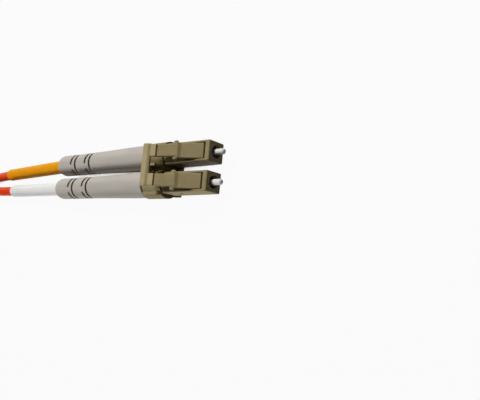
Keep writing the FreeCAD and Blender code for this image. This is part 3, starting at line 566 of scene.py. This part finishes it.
# the hank: its middle line, the centres of its two folds, and how far out each leg runs
HANK_Y, HANK_FRONT, HANK_REAR = -10.05, -66.0, -116.0
LANES = {"a": 11.35, "b": 8.5}
FIRST_LAYER = 2.25  # height of the lowest turns' middle, with room for the strap below
FULL_TURNS = 5
FOLD_POINTS = 6
FOLD_STEP = math.radians(180 / FOLD_POINTS)
REAR_FOLD, FRONT_FOLD = 90, 270  # the angle, in degrees, where each fold starts
RUN_SHARES = (0.06, 0.5, 0.94)  # how much of its climb a run has made at each of its points
# leg b's bare end comes back inside the top turn: x, then y off the hank's middle line and
# height off the turn's own
TUCKED_END = [(-113.7, -8.5, 0.1), (-109.0, -8.1, 0.3), (-102.0, -6.9, 0.3), (-95.0, -5.9, 0.1),
              (-88.0, -5.6, 0.0), (-78.0, -5.5, -0.2), (-69.0, -5.4, -0.6)]


def fold(centre_x, start, lane, height):
    """Points round one end of the hank; the lines between them touch the fold's arc."""
    reach = lane / math.cos(FOLD_STEP / 2)
    angles = [math.radians(start) + FOLD_STEP * (i + 0.5) for i in range(FOLD_POINTS)]
    return [(centre_x + reach * math.cos(angle), HANK_Y + reach * math.sin(angle), height)
            for angle in angles]


def run(lane, side, low, high):
    """Points along one side of the hank, from one height to another.

    On side +1 the leg goes back, on side -1 it comes forward.
    """
    inset = lane * math.tan(FOLD_STEP / 2)
    middle = (HANK_FRONT + HANK_REAR) / 2
    stations = [HANK_FRONT - inset, middle, HANK_REAR + inset][::side]
    return [(x, HANK_Y + side * lane, low + (high - low) * share)
            for x, share in zip(stations, RUN_SHARES)]


def hank_points(tag):
    """A leg's turns in the hank, from the lowest up, and its bare end on the top layer."""
    lane = LANES[tag]
    points = []
    for turn in range(FULL_TURNS):
        height = FIRST_LAYER + CORD_DIA * turn
        points += run(lane, 1, height, height) + fold(HANK_REAR, REAR_FOLD, lane, height)
        points += run(lane, -1, height, height + CORD_DIA)
        points += fold(HANK_FRONT, FRONT_FOLD, lane, height + CORD_DIA)
    top = FIRST_LAYER + CORD_DIA * FULL_TURNS
    points += run(lane, 1, top, top)
    if tag == "a":
        return points + [(HANK_REAR, HANK_Y + lane, top)]
    points += fold(HANK_REAR, REAR_FOLD, lane, top)
    return points + [(x, HANK_Y + y, top + z) for x, y, z in TUCKED_END]


def lead_leg(tag):
    """One leg of the lead."""
    curve = bpy.data.curves.new("lead_leg_" + tag, "CURVE")
    curve.dimensions = "3D"
    curve.bevel_depth = CORD_DIA / 2 * MM
    curve.bevel_resolution = 8
    curve.resolution_u = 5
    curve.use_fill_caps = True
    points = ROUTES[tag] + hank_points(tag)
    spline = curve.splines.new("NURBS")
    spline.points.add(len(points) - 1)
    for point, (x, y, z) in zip(spline.points, points):
        point.co = (x * MM, y * MM, z * MM, 1.0)
    spline.order_u = 3
    spline.use_endpoint_u = True
    curve.materials.append(JACKET)
    leg = add_object("lead_leg_" + tag, curve)
    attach(leg, "connector")
    return leg


# ------------------------------------------------------------ the hank's strap
STRAP_THICKNESS, STRAP_BEND, STRAP_CLEARANCE = 0.8, 1.8, 0.05
# across from the hank's middle: the inner end, and the slope from the dip up to the top turns
INNER_END, SLOPE_START, SLOPE_END = -3.4, 5.2, 8.1
# the far top corner, cut off between a height and a place across, and the outer end
CORNER_HEIGHT, CORNER_ACROSS, OUTER_END = 16.3, -5.9, 4.0


def hank_strap():
    """Strap drawn tight over the hank, its outer end lying on its inner end.

    The inner end dips between the lanes of turns to make room.
    """
    low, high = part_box("lead_tie")
    thickness = STRAP_THICKNESS * MM
    under, over = low.z + thickness / 2, high.z - thickness / 2
    reach = (high.y - low.y) / 2 - thickness / 2 - STRAP_CLEARANCE * MM
    dip = over - thickness
    across_up = [(INNER_END * MM, dip), (SLOPE_START * MM, dip), (SLOPE_END * MM, over),
                 (reach, over), (reach, under), (-reach, under), (-reach, CORNER_HEIGHT * MM),
                 (CORNER_ACROSS * MM, over), (OUTER_END * MM, over)]
    line = [((low.x + high.x) / 2, HANK_Y * MM + across, up) for across, up in across_up]
    strap = wrapped_strap("hank_strap", line, high.x - low.x, thickness, STRAP_BEND * MM, STRAP)
    settle(strap, "lead_tie", "connector")
    return strap


strap = hank_strap()
leg_a = lead_leg("a")
leg_b = lead_leg("b")
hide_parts("cord_a", "cord_hank")
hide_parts("cord_b")

# ------------------------------------------------------------ floor, light and world
FLOOR_REACH = 0.6  # metres
# the floor looks this far up for the connector; where less than the first share of the space
# over it is open it shows its own shade, and from the second share on it shows white
COVER_REACH, COVERED, OPEN = 12, 0.02, 0.09
FLOOR_WHITE = 0.95
WORLD_FILL = 0.02
LIT_POINT = behind(25)


def pale_floor():
    """White table that still takes the connector's shadow."""
    mesh = bpy.data.meshes.new("table_top")
    corners = [(-1, -1), (1, -1), (1, 1), (-1, 1)]
    mesh.from_pydata([(x * FLOOR_REACH, y * FLOOR_REACH, 0) for x, y in corners],
                     [], [(0, 1, 2, 3)])
    finish = Finish("table_white", (0.25, 0.25, 0.25), roughness=0.95, gloss=0.1)
    seen = finish.seen_by("Is Camera Ray", "Is Glossy Ray")
    around = finish.node("ShaderNodeAmbientOcclusion", {"Distance": COVER_REACH * MM}, samples=16)
    white = finish.node("ShaderNodeMapRange", {
        "Value": around.outputs["AO"], "From Min": COVERED, "From Max": OPEN,
        "To Max": FLOOR_WHITE})
    glow = finish.node("ShaderNodeEmission", {"Color": (1, 1, 1, 1)})
    mix = finish.node("ShaderNodeMixShader", {
        "Fac": finish.calc("MULTIPLY", seen, white.outputs["Result"]),
        1: finish.shader.outputs["BSDF"], 2: glow.outputs["Emission"]})
    finish.join(mix.outputs["Shader"], finish.tree.nodes["Material Output"].inputs["Surface"])
    mesh.materials.append(finish.material)
    add_object("table_top", mesh)


def white_world():
    """White to the eye, in reflections and through glass, and a faint fill for all else."""
    world = bpy.data.worlds.new("studio_world")
    bpy.context.scene.world = world
    world.use_nodes = True
    sky = Nodes(world.node_tree)
    seen = sky.seen_by("Is Camera Ray", "Is Glossy Ray", "Is Transmission Ray")
    strength = sky.node("ShaderNodeMapRange", {
        "Value": seen, "To Min": WORLD_FILL, "To Max": 1.0})
    background = sky.tree.nodes["Background"]
    background.inputs["Color"].default_value = (1, 1, 1, 1)
    sky.join(strength.outputs["Result"], background.inputs["Strength"])


def soft_lamp(name, place, width, power):
    """Round lamp at place, pointed at the connector."""
    data = bpy.data.lights.new(name, "AREA")
    data.shape = "DISK"
    data.size = width
    data.energy = power
    add_object(name, data).matrix_world = aimed(Vector(place), LIT_POINT)


pale_floor()
white_world()
soft_lamp("key_lamp", place=(0.0, 0.25, 0.32), width=0.1, power=1.9)
soft_lamp("fill_lamp", place=(-0.05, -0.35, 0.03), width=0.08, power=0.85)
bpy.context.scene.view_settings.view_transform = "Standard"
